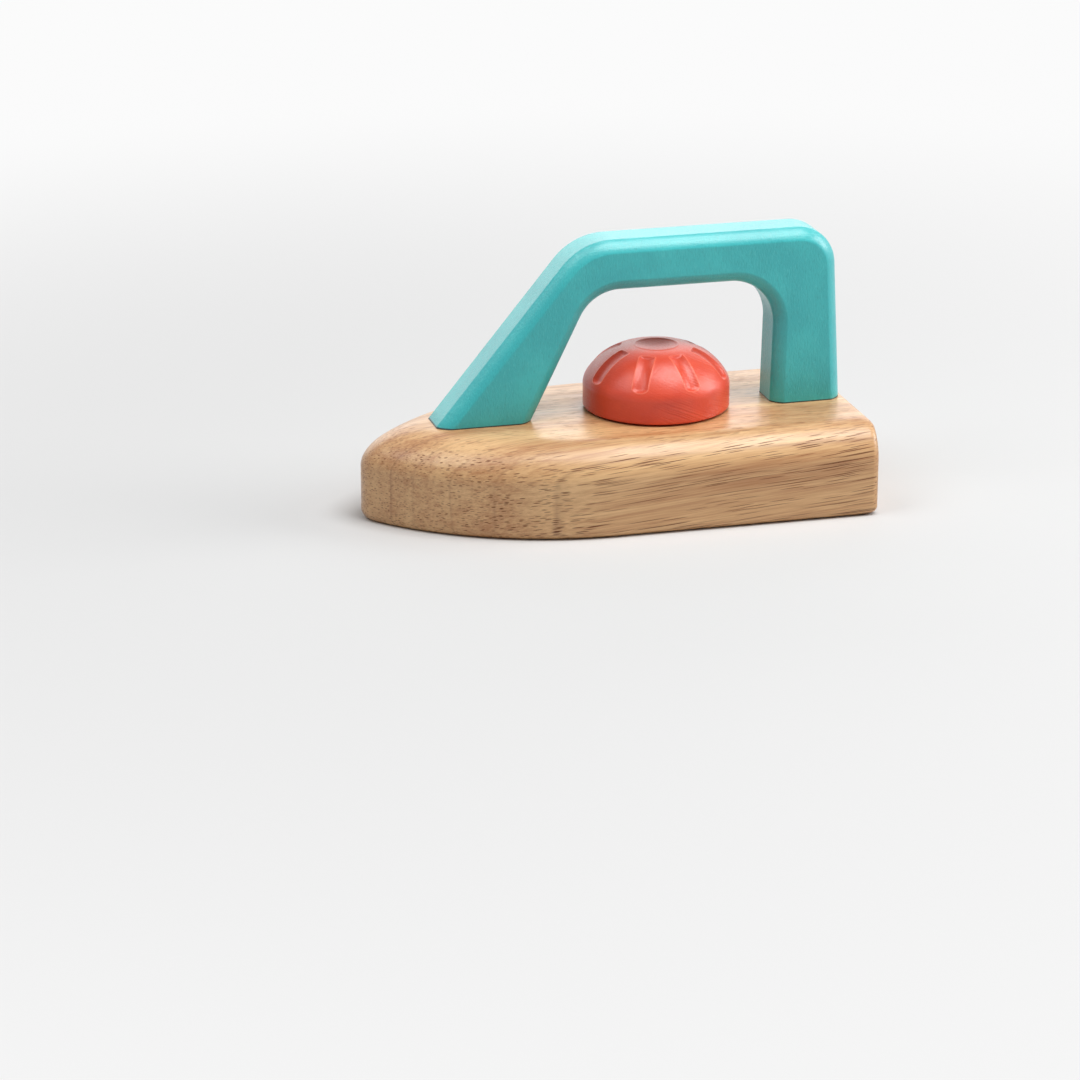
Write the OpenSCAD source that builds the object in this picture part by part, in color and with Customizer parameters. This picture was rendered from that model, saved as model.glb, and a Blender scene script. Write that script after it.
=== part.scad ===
// Wooden toy iron: a shaped block, an arched handle and a turned dial that clicks as it turns.
// Nose at -X, heel at +X, sole on the ground at Z = 0, sizes in millimetres.

/* [Base block] */
// Length from nose to heel
base_len = 150.5; // [140:0.5:170]
// Width across the straight sides
base_w = 75.5; // [70:0.5:84]
// Height of the block
base_h = 28; // [26:0.5:36]
// Radius of the nose seen from above
nose_r = 8; // [6:0.5:10]
// Radius of the long curve from nose to side, seen from above
side_r = 86.8; // [80:0.2:110]
// Soft rounding along the top edge of the sides
top_round = 11; // [6:0.5:12]
// Length over which the top of the nose rounds off
nose_run = 23; // [14:0.5:24]
// Height over which the top of the nose rounds off
nose_rise = 12; // [10:0.5:16]
// Rounding along the bottom edge of the sides and nose
sole_round = 3; // [1:0.5:4]
// Small edge break on the cut heel
heel_break = 2.4; // [0.5:0.1:3]
// Rounding of the two upright heel corners
heel_corner_r = 2.5; // [1:0.1:4]

/* [Handle] */
// Height of the handle above the block
handle_h = 54.1; // [50:0.1:64]
// Thickness of the handle across the iron
handle_t = 16.8; // [14:0.2:20]
// Height of the straight grip bar
bar_h = 15.4; // [13:0.2:18]
// Rounding of the long handle edges
handle_round = 3.6; // [2:0.1:5]
// Gap from the heel to the rear foot
rear_foot_gap = 2.5; // [2.5:0.1:6]
// Length of the rear foot on the block
rear_foot_len = 22; // [20:0.2:26]
// Clear length between the two feet on the block
feet_gap = 75; // [70:0.5:80]
// Length of the front foot on the block
front_foot_len = 29.2; // [28:0.1:34]
// Slope of the front face of the front post
front_outer_deg = 50.4; // [48:0.1:56]
// Slope of the inner face of the front post
front_inner_deg = 63.8; // [60:0.1:70]
// Lean of the rear face of the rear post
rear_outer_deg = 87.1; // [85:0.1:90]
// Lean of the inner face of the rear post
rear_inner_deg = 88.5; // [86:0.1:90]
// Outer corner radius at the front of the bar
front_outer_r = 20; // [14:0.5:24]
// Inner corner radius at the front of the bar
front_inner_r = 13.5; // [8:0.5:16]
// Outer corner radius at the rear of the bar
rear_outer_r = 12.2; // [8:0.2:15]
// Inner corner radius at the rear of the bar
rear_inner_r = 13.5; // [8:0.5:15]

/* [Dial] */
// Distance of the dial axis from the heel
dial_from_heel = 59; // [57:0.2:61]
// Diameter of the dial
dial_d = 44.4; // [43:0.2:48]
// Height of the dial to the rim of its dish
dial_h = 18.7; // [18:0.1:22]
// Height at which the wall and the dome of the dial would meet
dial_wall_h = 8; // [7.5:0.5:9]
// Radius of the domed side, seen in section
dome_r = 18; // [17.5:0.5:20]
// Radius of the shoulder between wall and dome
shoulder_r = 6; // [5:0.5:9]
// Diameter of the rim round the dish
dish_d = 13; // [12:0.5:15]
// Depth of the dish
dish_depth = 1; // [0.6:0.1:1.5]
// Width of the cutter that makes the grip grooves
groove_d = 8; // [5:0.1:9]
// Depth of the grip grooves
groove_depth = 0.7; // [0.6:0.1:1.1]
// Number of grip grooves
groove_count = 8; // [6:1:12]
// Direction of the first groove, from the heel
groove_start_deg = 15; // [0:0.5:45]
// Height of the dial above the block
dial_gap = 0.6; // [0.4:0.1:1]
// Edge break at the foot of the dial wall
dial_foot_break = 0.6; // [0.3:0.1:1]

/* [Click mechanism] */
// Diameter of the click wheel under the dial
wheel_d = 33.6; // [32:0.2:36]
// Thickness of the click wheel
wheel_t = 4; // [3.5:0.1:4.5]
// Height of the click wheel above the foot of the dial
wheel_lift = 1.2; // [1:0.1:1.6]
// Number of click notches
notch_count = 24; // [12:12:24]
// Radius of the rounded click notches
notch_r = 1.8; // [1.6:0.1:2]
// Depth of the click notches
notch_depth = 1; // [0.8:0.1:1.1]
// Distance of the plunger from the dial axis
plunger_offset = 14.3; // [14:0.1:14.6]
// Diameter of the plunger body
plunger_d = 5; // [4.6:0.1:5.4]
// Length of the plunger body
plunger_len = 8; // [7:0.5:9]
// Radius of the plunger nose
nose_tip_r = 1.65; // [1.5:0.05:1.65]
// Outer diameter of the sleeve that guides the plunger
sleeve_d = 8; // [7.6:0.1:8.4]
// Length of the sleeve
sleeve_len = 16; // [15:0.5:17]
// Thickness of the sleeve floor
sleeve_floor = 1.5; // [1:0.1:2]
// Wire diameter of the plunger spring
spring_wire_d = 0.6; // [0.5:0.05:0.7]
// Number of turns of the plunger spring
spring_turns = 5; // [4:1:6]

/* [Axle] */
// Diameter of the axle
axle_d = 8; // [7.6:0.1:8.2]
// Depth of the axle in the dial
axle_in_dial = 7; // [6:0.5:8]
// Outer diameter of the two bushes
bush_d = 11; // [10.6:0.1:11.6]
// Length of bare axle between the two bushes
bush_spacing = 4; // [3:0.5:8]
// Diameter of the bush flanges
flange_d = 13; // [12.4:0.1:13.2]
// Thickness of the lower bush flange
flange_t = 1.5; // [1.2:0.1:2]
// Diameter of the well in the sole
well_d = 18; // [17:0.2:19]
// Depth of the well in the sole
well_depth = 10; // [9.6:0.1:10.4]
// Diameter of the plug that closes the well
plug_d = 22; // [21:0.2:24]
// Thickness of the plug
plug_t = 3.2; // [2.6:0.1:3.4]
// Outer diameter of the spring washer
spring_washer_d = 14; // [13:0.2:15]
// Thickness of the spring washer sheet
spring_washer_t = 0.6; // [0.5:0.05:0.7]
// Cone height of the spring washer
spring_washer_rise = 0.5; // [0.3:0.05:0.6]
// Diameter of the retaining washer
washer_d = 15; // [14:0.2:16]
// Thickness of the retaining washer
washer_t = 1.2; // [1:0.1:1.4]
// Diameter of the retaining screw
axle_screw_d = 4; // [3.5:0.1:4.2]
// Length of the retaining screw under its head
axle_screw_len = 12; // [10:0.5:14]
// Diameter of the retaining screw head
axle_screw_head_d = 7.6; // [7:0.1:8]
// Height of the retaining screw head
axle_screw_head_h = 2.2; // [1.8:0.1:2.4]
// Width of the hexagon socket in the retaining screw
axle_screw_hex = 2.5; // [2:0.1:2.8]

/* [Dowels and screws] */
// Diameter of the handle dowels
dowel_d = 6; // [5:0.2:6.4]
// Depth of each dowel in the handle
dowel_in_handle = 8.5; // [7:0.5:9]
// Depth of each dowel in the block
dowel_in_base = 13; // [10:0.5:14]
// Edge break on the dowel ends
dowel_break = 0.8; // [0.4:0.1:1]
// Distance between the two dowels of the front foot
front_dowel_pitch = 10; // [9:0.1:10.5]
// Distance from the inner edge of the front foot to its nearer dowel
front_dowel_inset = 6.8; // [6:0.1:7.2]
// Distance between the two dowels of the rear foot
rear_dowel_pitch = 9.5; // [8.5:0.1:10]
// Distance of the click wheel screws from the axis
wheel_screw_offset = 9.2; // [9:0.1:9.4]
// Number of click wheel screws
wheel_screw_count = 3; // [3:1:3]
// Shank diameter of the click wheel screws
wheel_screw_d = 2.4; // [2:0.1:2.6]
// Length of the click wheel screws
wheel_screw_len = 9; // [8:0.5:10]
// Head diameter of the click wheel screws
wheel_screw_head_d = 4.4; // [4:0.1:4.6]
// Head height of the click wheel screws
wheel_screw_head_h = 1.4; // [1.2:0.1:1.6]

/* [Fits] */
// Glued fit all round a dowel, sleeve, bush or plug
glue_fit = 0.05; // [0.02:0.01:0.1]
// Running fit all round the axle
run_fit = 0.04; // [0.02:0.01:0.08]
// Sliding fit all round the plunger
slide_fit = 0.1; // [0.05:0.01:0.15]
// Room between pieces that pass each other
pass_gap = 0.1; // [0.05:0.01:0.15]
// Room round the click wheel in the dial
wheel_fit = 0.2; // [0.1:0.05:0.3]

/* [Hidden] */
$fn = 64;
// Overrun of every cut past the face it opens
over = 1;

// Numbers of steps along the curves of the two shaped solids
round_steps = 12;
sole_steps = 7;
nose_steps = 22;
side_steps = 16;
corner_steps = 5;
bend_steps = 12;
shoulder_steps = 6;

// Places along the iron
heel_x = base_len / 2;
nose_x = -base_len / 2;
dial_x = heel_x - dial_from_heel;
side_mid_y = side_r - base_w / 2;

// Places of the handle feet, front to rear
rear_out_x = heel_x - rear_foot_gap;
rear_in_x = rear_out_x - rear_foot_len;
front_in_x = rear_in_x - feet_gap;
front_out_x = front_in_x - front_foot_len;
top_z = base_h + handle_h;
under_z = top_z - bar_h;
// Section of the rounded handle edges: 1 is a flat bevel and 2 is a quarter circle
edge_power = 1.4;

// Places of the dowels
front_dowel_aft_x = front_in_x - front_dowel_inset;
front_dowel_fore_x = front_dowel_aft_x - front_dowel_pitch;
rear_mid_x = (rear_in_x + rear_out_x) / 2;
rear_dowel_fore_x = rear_mid_x - rear_dowel_pitch / 2;
rear_dowel_aft_x = rear_mid_x + rear_dowel_pitch / 2;

// Levels of the dial and what it holds
dial_z = base_h + dial_gap;
wheel_z = dial_z + wheel_lift;
recess_h = wheel_lift + wheel_t;
axle_top_z = dial_z + recess_h + axle_in_dial;

// Section of the dial: the dome passes through the top of the wall and the rim of the dish
wall_top = [dial_d / 2, dial_wall_h];
rim_top = [dish_d / 2, dial_h];
dome_chord = rim_top - wall_top;
dome_half = norm(dome_chord) / 2;
dome_deep = sqrt(pow(dome_r, 2) - pow(dome_half, 2));
dome_mid = (wall_top + rim_top) / 2 + dome_deep * [-dome_chord.y, dome_chord.x] / norm(dome_chord);
dome_from_deg = atan2(wall_top.y - dome_mid.y, wall_top.x - dome_mid.x);
dome_to_deg = atan2(rim_top.y - dome_mid.y, rim_top.x - dome_mid.x);
dish_r = (pow(dish_d / 2, 2) + pow(dish_depth, 2)) / (2 * dish_depth);
dish_half_deg = asin(dish_d / 2 / dish_r);
// The shoulder rounds the corner between the wall and the dome
shoulder_mid_x = dial_d / 2 - shoulder_r;
shoulder_up = sqrt(pow(dome_r - shoulder_r, 2) - pow(shoulder_mid_x - dome_mid.x, 2));
shoulder_mid = [shoulder_mid_x, dome_mid.y + shoulder_up];
shoulder_deg = atan2(shoulder_up, shoulder_mid_x - dome_mid.x);
// Each groove stops short of the rim and of the wall by a share of the dome's sweep
groove_top_share = 0.225;
groove_foot_share = 0.085;
groove_sweep_deg = dome_to_deg - dome_from_deg;
groove_from_deg = dome_from_deg + groove_sweep_deg * groove_foot_share;
groove_to_deg = dome_to_deg - groove_sweep_deg * groove_top_share;
groove_path_r = dome_r + groove_d / 2 - groove_depth;

// Levels of the bushes, washers and screw below the axle
bush_len = (base_h - well_depth - bush_spacing) / 2;
upper_flange_t = dial_gap + wheel_lift - pass_gap;
lower_flange_z = well_depth - flange_t;
spring_washer_z = lower_flange_z - pass_gap - spring_washer_t - spring_washer_rise;
axle_end_z = spring_washer_z;
axle_len = axle_top_z - axle_end_z;
tapped_depth = axle_screw_len - washer_t + glue_fit;
washer_z = axle_end_z - washer_t;
screw_head_z = washer_z - axle_screw_head_h;

// Direction of the first click wheel screw, between two notches of the row the plunger rides in
wheel_screw_start_deg = 60;

// Levels of the plunger
tip_top_z = wheel_z + notch_depth - pass_gap;
tip_mid_z = tip_top_z - nose_tip_r;
plunger_top_z = base_h - pass_gap;
plunger_z = plunger_top_z - plunger_len;
sleeve_z = base_h - sleeve_len;
spring_z = sleeve_z + sleeve_floor;
spring_len = plunger_z - spring_z;
spring_mid_d = plunger_d - spring_wire_d - slide_fit;
notch_from = wheel_screw_offset + wheel_screw_head_d / 2 + pass_gap;

// How far an edge that rounds off over a run and a rise draws in at height up from that edge
function drawn_in(run, rise, up) =
    up >= rise ? 0 : run * (1 - sqrt(max(0, 1 - pow(1 - up / rise, 2))));

// Points on an arc about mid, from one angle to another
function arc(mid, r, from_deg, to_deg, steps) =
    [for (i = [0:steps]) mid + r * [cos(from_deg + (to_deg - from_deg) * i / steps),
                                    sin(from_deg + (to_deg - from_deg) * i / steps)]];

// Point where two lines meet, each given by a point and a direction
function meet(p, u, q, v) = p + u * cross(q - p, v) / cross(u, v);

// Unit direction at an angle
function heading(deg) = [cos(deg), sin(deg)];

// Arc of radius r tangent to the two legs of a corner
function fillet(before, corner, after, r, steps) =
    let (
        u = (before - corner) / norm(before - corner),
        v = (after - corner) / norm(after - corner),
        half = acos(u * v) / 2,
        mid = corner + (u + v) / norm(u + v) * r / sin(half),
        from_deg = atan2((corner + u * r / tan(half) - mid).y, (corner + u * r / tan(half) - mid).x),
        turn = cross(u, v) > 0 ? 1 : -1,
        sweep = turn * (180 - 2 * half)
    )
    arc(mid, r, from_deg, from_deg - sweep, steps);

// Outline of the block at one level, with its sides, nose and heel drawn in
function base_outline(side_in, nose_in, heel_in) =
    let (
        corner_mid = [heel_x - heel_in - heel_corner_r, base_w / 2 - side_in - heel_corner_r],
        corner = arc(corner_mid, heel_corner_r, 0, 90, corner_steps),
        level_r = side_r - side_in,
        nose_mid_x = nose_x + nose_in + nose_r,
        side_mid_x = nose_mid_x + sqrt(pow(level_r - nose_r, 2) - pow(side_mid_y, 2)),
        nose_half_deg = asin(side_mid_y / (level_r - nose_r)),
        side = arc([side_mid_x, -side_mid_y], level_r, 90, 180 - nose_half_deg, side_steps),
        nose = arc([nose_mid_x, 0], nose_r, 180 - nose_half_deg, 180 + nose_half_deg, nose_steps),
        far = concat(corner, side)
    )
    concat(
        far,
        [for (i = [1:nose_steps - 1]) nose[i]],
        [for (i = [len(far) - 1:-1:0]) [far[i].x, -far[i].y]]
    );

// Side outline of the handle with every face drawn in by the same amount
function handle_outline(in) =
    let (
        ro_dir = heading(180 - rear_outer_deg),
        ri_dir = heading(rear_inner_deg),
        fo_dir = heading(front_outer_deg),
        fi_dir = heading(front_inner_deg),
        ro_p = [rear_out_x, base_h] + in * [-ro_dir.y, ro_dir.x],
        ri_p = [rear_in_x, base_h] + in * [ri_dir.y, -ri_dir.x],
        fo_p = [front_out_x, base_h] + in * [fo_dir.y, -fo_dir.x],
        fi_p = [front_in_x, base_h] + in * [-fi_dir.y, fi_dir.x],
        flat = [1, 0],
        top_p = [0, top_z - in],
        under_p = [0, under_z + in],
        floor_p = [0, base_h],
        a = meet(ro_p, ro_dir, floor_p, flat),
        b = meet(ro_p, ro_dir, top_p, flat),
        c = meet(fo_p, fo_dir, top_p, flat),
        d = meet(fo_p, fo_dir, floor_p, flat),
        e = meet(fi_p, fi_dir, floor_p, flat),
        f = meet(fi_p, fi_dir, under_p, flat),
        g = meet(ri_p, ri_dir, under_p, flat),
        h = meet(ri_p, ri_dir, floor_p, flat)
    )
    concat(
        [a],
        fillet(a, b, c, rear_outer_r - in, bend_steps),
        fillet(b, c, d, front_outer_r - in, bend_steps),
        [d, e],
        fillet(e, f, g, front_inner_r + in, bend_steps),
        fillet(f, g, h, rear_inner_r + in, bend_steps),
        [h]
    );

// Closed solid through a stack of outlines that all have the same number of points
module loft(rings) {
    n = len(rings[0]);
    last = len(rings) - 1;
    points = [for (ring = rings) each ring];
    walls = [for (k = [0:last - 1]) for (i = [0:n - 1])
        let (j = (i + 1) % n) each [[k * n + i, (k + 1) * n + i, k * n + j],
                                    [k * n + j, (k + 1) * n + i, (k + 1) * n + j]]];
    strip = [for (i = [0:floor(n / 2) - 1]) each concat(
        i + 1 < n - 1 - i ? [[i, i + 1, n - 1 - i]] : [],
        i + 1 < n - 2 - i ? [[i + 1, n - 2 - i, n - 1 - i]] : [])];
    cover = [for (t = strip) [last * n + t[2], last * n + t[1], last * n + t[0]]];
    polyhedron(points, concat(walls, strip, cover));
}

// Upright round hole or post at a place along the middle of the iron
module post(x, z, d, h) {
    translate([x, 0, z]) cylinder(d = d, h = h);
}

// Places something at the dial axis
module at_dial() {
    translate([dial_x, 0, 0]) children();
}

// Places something at each of the click wheel screws, at a level
module at_wheel_screws(z) {
    for (i = [0:wheel_screw_count - 1])
        at_dial() rotate(wheel_screw_start_deg + 360 * i / wheel_screw_count)
            translate([wheel_screw_offset, 0, z]) children();
}

// Shaped block with the holes for dowels, bushes, sleeve and plug
module base_block() {
    top_rise = max(top_round, nose_rise);
    levels = concat(
        [for (i = [0:sole_steps]) sole_round * (1 - cos(90 * i / sole_steps))],
        [for (i = [0:round_steps]) base_h - top_rise * (1 - sin(90 * i / round_steps))]
    );
    rings = [for (z = levels)
        let (sole_in = drawn_in(sole_round, sole_round, z),
             side_in = max(sole_in, drawn_in(top_round, top_round, base_h - z)),
             nose_in = max(sole_in, drawn_in(nose_run, nose_rise, base_h - z)),
             heel_in = drawn_in(heel_break, heel_break, min(z, base_h - z)))
        [for (p = base_outline(side_in, nose_in, heel_in)) [p.x, p.y, z]]];
    color("burlywood") difference() {
        loft(rings);
        for (x = [front_dowel_fore_x, front_dowel_aft_x, rear_dowel_fore_x, rear_dowel_aft_x])
            post(x, base_h - dowel_in_base - glue_fit, dowel_d + 2 * glue_fit, dowel_in_base + over);
        post(dial_x, -over, bush_d + 2 * glue_fit, base_h + 2 * over);
        post(dial_x, -over, well_d, well_depth + over);
        post(dial_x, -over, plug_d + 2 * glue_fit, plug_t + over);
        post(dial_x + plunger_offset, sleeve_z - glue_fit, sleeve_d + 2 * glue_fit, sleeve_len + over);
    }
}

// Arched handle with two blind dowel holes in each foot
module handle() {
    far = [for (i = [0:round_steps])
        let (deg = 90 * i / round_steps,
             inward = 1 - pow(sin(deg), 2 / edge_power),
             back = 1 - pow(cos(deg), 2 / edge_power))
        [handle_round * inward, handle_t / 2 - handle_round * back]];
    slices = concat(far, [for (i = [round_steps:-1:0]) [far[i][0], -far[i][1]]]);
    rings = [for (s = slices) [for (p = handle_outline(s[0])) [p.x, s[1], p.y]]];
    color("lightseagreen") difference() {
        loft(rings);
        for (x = [front_dowel_fore_x, front_dowel_aft_x, rear_dowel_fore_x, rear_dowel_aft_x])
            post(x, base_h - over, dowel_d + 2 * glue_fit, dowel_in_handle + glue_fit + over);
    }
}

// Plain dowel with broken ends, half in the block and half in the handle
module dowel(x) {
    translate([x, 0, base_h]) rotate_extrude() polygon([
        [0, -dowel_in_base],
        [dowel_d / 2 - dowel_break, -dowel_in_base],
        [dowel_d / 2, -dowel_in_base + dowel_break],
        [dowel_d / 2, dowel_in_handle - dowel_break],
        [dowel_d / 2 - dowel_break, dowel_in_handle],
        [0, dowel_in_handle]
    ]);
}

module front_dowel_fore() { color("wheat") dowel(front_dowel_fore_x); }
module front_dowel_aft() { color("wheat") dowel(front_dowel_aft_x); }
module rear_dowel_fore() { color("wheat") dowel(rear_dowel_fore_x); }
module rear_dowel_aft() { color("wheat") dowel(rear_dowel_aft_x); }

// One grip groove, cut along the dome by a round-nosed cutter
module groove() {
    translate([dome_mid.x, 0, dome_mid.y]) rotate([90, 0, 0]) rotate(groove_from_deg)
        rotate_extrude(angle = groove_to_deg - groove_from_deg)
            translate([groove_path_r, 0]) circle(d = groove_d);
}

// Turned dial: wall, dome and shallow dish, hollowed below for the click wheel and the axle
module dial() {
    shoulder = arc(shoulder_mid, shoulder_r, 0, shoulder_deg, shoulder_steps);
    dome = arc(dome_mid, dome_r, shoulder_deg, dome_to_deg, round_steps);
    dish_mid = [0, dial_h - dish_depth + dish_r];
    dish = arc(dish_mid, dish_r, dish_half_deg - 90, -90, round_steps);
    section = concat(
        [[0, 0], [dial_d / 2 - dial_foot_break, 0], [dial_d / 2, dial_foot_break]],
        shoulder,
        [for (i = [1:round_steps]) dome[i]],
        [for (i = [1:round_steps]) dish[i]]
    );
    color("tomato") difference() {
        at_dial() translate([0, 0, dial_z]) difference() {
            rotate_extrude() polygon(section);
            for (i = [0:groove_count - 1])
                rotate(groove_start_deg + 360 * i / groove_count) groove();
            translate([0, 0, -over]) cylinder(d = wheel_d + 2 * wheel_fit, h = recess_h + over);
            cylinder(d = axle_d + 2 * glue_fit, h = recess_h + axle_in_dial + glue_fit);
        }
        at_wheel_screws(wheel_z) cylinder(d = wheel_screw_d + 2 * glue_fit, h = wheel_screw_len + glue_fit);
    }
}

// Steel axle glued into the dial, tapped at its lower end
module axle() {
    color("silver") difference() {
        post(dial_x, axle_end_z, axle_d, axle_len);
        post(dial_x, axle_end_z - over, axle_screw_d + 2 * glue_fit, tapped_depth + over);
    }
}

// Notched plastic wheel fixed up inside the dial
module click_wheel() {
    color("whitesmoke") difference() {
        at_dial() translate([0, 0, wheel_z]) difference() {
            cylinder(d = wheel_d, h = wheel_t);
            translate([0, 0, -over]) cylinder(d = axle_d + 2 * glue_fit, h = wheel_t + 2 * over);
            for (i = [0:notch_count - 1])
                rotate(360 * i / notch_count) translate([notch_from, 0, notch_depth - notch_r])
                    rotate([0, 90, 0]) cylinder(r = notch_r, h = wheel_d / 2);
        }
        at_wheel_screws(wheel_z) {
            translate([0, 0, -over]) cylinder(d = wheel_screw_d + 2 * glue_fit, h = wheel_t + 2 * over);
            cylinder(d1 = wheel_screw_head_d + 2 * glue_fit, d2 = wheel_screw_d + 2 * glue_fit,
                     h = wheel_screw_head_h);
        }
    }
}

// Three countersunk screws that hold the click wheel in the dial
module wheel_screws() {
    color("gray") at_wheel_screws(wheel_z) {
        cylinder(d1 = wheel_screw_head_d, d2 = wheel_screw_d, h = wheel_screw_head_h);
        cylinder(d = wheel_screw_d, h = wheel_screw_len);
    }
}

// Flanged bush: a sleeve with a flange at its foot
module bush(flange_h) {
    difference() {
        union() {
            cylinder(d = bush_d, h = flange_h + bush_len);
            cylinder(d = flange_d, h = flange_h);
        }
        translate([0, 0, -over]) cylinder(d = axle_d + 2 * run_fit, h = flange_h + bush_len + 2 * over);
    }
}

// Upper bush, whose flange carries the dial
module upper_bush() {
    color("ivory") at_dial() translate([0, 0, base_h + upper_flange_t]) mirror([0, 0, 1])
        bush(upper_flange_t);
}

// Lower bush, whose flange seats on the roof of the well
module lower_bush() {
    color("ivory") at_dial() translate([0, 0, lower_flange_z]) bush(flange_t);
}

// Cup that guides the plunger and carries its spring
module plunger_sleeve() {
    color("dimgray") difference() {
        post(dial_x + plunger_offset, sleeve_z, sleeve_d, sleeve_len);
        post(dial_x + plunger_offset, spring_z, plunger_d + 2 * slide_fit, sleeve_len);
    }
}

// Plunger with a round nose that drops into the notches
module plunger() {
    color("gold") {
        post(dial_x + plunger_offset, plunger_z, plunger_d, plunger_len);
        post(dial_x + plunger_offset, plunger_z, 2 * nose_tip_r, tip_mid_z - plunger_z);
        translate([dial_x + plunger_offset, 0, tip_mid_z]) sphere(r = nose_tip_r);
    }
}

// Coil under the plunger, one unbroken wire with its two ends trimmed flat
module plunger_spring() {
    wire_sides = 8;
    turn_steps = 16;
    rise = spring_len - spring_wire_d;
    steps = spring_turns * turn_steps;
    rings = [for (i = [0:steps])
        let (deg = 360 * i / turn_steps)
        [for (k = [0:wire_sides - 1])
            let (reach = spring_mid_d / 2 + spring_wire_d / 2 * cos(360 * k / wire_sides))
            [reach * cos(deg), reach * sin(deg),
             spring_wire_d / 2 + rise * i / steps + spring_wire_d / 2 * sin(360 * k / wire_sides)]]];
    color("lightsteelblue") translate([dial_x + plunger_offset, 0, spring_z]) loft(rings);
}

// Conical washer that takes up the play of the dial
module spring_washer() {
    inner = axle_d / 2 + slide_fit;
    color("lightsteelblue") at_dial() translate([0, 0, spring_washer_z]) rotate_extrude() polygon([
        [inner, spring_washer_rise],
        [spring_washer_d / 2, 0],
        [spring_washer_d / 2, spring_washer_t],
        [inner, spring_washer_rise + spring_washer_t]
    ]);
}

// Flat washer clamped against the end of the axle
module retaining_washer() {
    color("silver") difference() {
        post(dial_x, washer_z, washer_d, washer_t);
        post(dial_x, washer_z - over, axle_screw_d + 2 * slide_fit, washer_t + 2 * over);
    }
}

// Screw that holds the washer on the axle
module axle_screw() {
    color("gray") difference() {
        union() {
            post(dial_x, screw_head_z, axle_screw_head_d, axle_screw_head_h);
            post(dial_x, screw_head_z, axle_screw_d, axle_screw_head_h + axle_screw_len);
        }
        translate([dial_x, 0, screw_head_z - over])
            cylinder(d = axle_screw_hex / cos(30), h = over + axle_screw_head_h / 2, $fn = 6);
    }
}

// Wooden plug that closes the well flush with the sole
module sole_plug() {
    color("burlywood") post(dial_x, 0, plug_d, plug_t);
}

base_block();
handle();
front_dowel_fore();
front_dowel_aft();
rear_dowel_fore();
rear_dowel_aft();
dial();
axle();
click_wheel();
wheel_screws();
upper_bush();
lower_bush();
plunger_sleeve();
plunger();
plunger_spring();
spring_washer();
retaining_washer();
axle_screw();
sole_plug();
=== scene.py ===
import math

import bmesh
import bpy
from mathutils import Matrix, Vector


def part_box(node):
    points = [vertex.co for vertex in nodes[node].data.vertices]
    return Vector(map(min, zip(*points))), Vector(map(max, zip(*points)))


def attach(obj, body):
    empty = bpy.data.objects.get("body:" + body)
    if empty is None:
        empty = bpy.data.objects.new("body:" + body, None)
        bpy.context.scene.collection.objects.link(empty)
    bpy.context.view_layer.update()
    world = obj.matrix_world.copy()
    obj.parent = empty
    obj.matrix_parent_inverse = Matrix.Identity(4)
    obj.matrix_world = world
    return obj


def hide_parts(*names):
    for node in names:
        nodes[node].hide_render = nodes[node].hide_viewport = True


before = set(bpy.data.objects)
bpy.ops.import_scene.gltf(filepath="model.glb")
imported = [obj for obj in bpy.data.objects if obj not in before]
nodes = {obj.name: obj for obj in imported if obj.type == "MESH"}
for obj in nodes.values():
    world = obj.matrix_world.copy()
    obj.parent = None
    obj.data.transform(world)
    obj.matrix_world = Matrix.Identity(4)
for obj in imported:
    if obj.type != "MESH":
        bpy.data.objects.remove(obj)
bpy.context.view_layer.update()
mm = 0.001
cutterSides = 64
weldGap = 1e-7
print("frame loaded:", len(nodes), "nodes")


# shapes

def heading(deg):
    return Vector((math.cos(math.radians(deg)), math.sin(math.radians(deg))))


def arcPoints(mid, radius, fromDeg, toDeg, steps):
    return [mid + radius * heading(fromDeg + (toDeg - fromDeg) * i / steps) for i in range(steps + 1)]


def drawnIn(run, rise, up):
    # how far an edge that rounds off over a run and a rise draws in at a height from that edge
    if up >= rise:
        return 0.0
    return run * (1 - math.sqrt(max(0.0, 1 - (1 - up / rise) ** 2)))


def cross2(a, b):
    return a.x * b.y - a.y * b.x


def meet(p, u, q, v):
    return p + u * (cross2(q - p, v) / cross2(u, v))


def fillet(before, corner, after, radius, steps):
    u = (before - corner).normalized()
    v = (after - corner).normalized()
    half = math.acos(u.dot(v)) / 2
    mid = corner + (u + v).normalized() * radius / math.sin(half)
    start = corner + u * radius / math.tan(half) - mid
    turn = 1 if cross2(u, v) > 0 else -1
    fromDeg = math.degrees(math.atan2(start.y, start.x))
    return arcPoints(mid, radius, fromDeg, fromDeg - turn * (180 - 2 * math.degrees(half)), steps)


def meshObject(name, verts, faces):
    mesh = bpy.data.meshes.new(name)
    mesh.from_pydata([tuple(c * mm for c in v) for v in verts], [], faces)
    mesh.validate()
    obj = bpy.data.objects.new(name, mesh)
    bpy.context.scene.collection.objects.link(obj)
    return obj


def loft(name, rings):
    # skin over a stack of outlines, closed at both ends with strips across
    count = len(rings[0])
    verts = [p for ring in rings for p in ring]
    faces = []
    for k in range(len(rings) - 1):
        for i in range(count):
            j = (i + 1) % count
            faces.append((k * count + i, k * count + j, (k + 1) * count + j, (k + 1) * count + i))
    for base, flip in ((0, True), ((len(rings) - 1) * count, False)):
        for i in range(count // 2 - 1):
            quad = (base + i, base + i + 1, base + count - 2 - i, base + count - 1 - i)
            quad = tuple(dict.fromkeys(quad))
            if len(quad) > 2:
                faces.append(tuple(reversed(quad)) if flip else quad)
    return meshObject(name, verts, faces)


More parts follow.
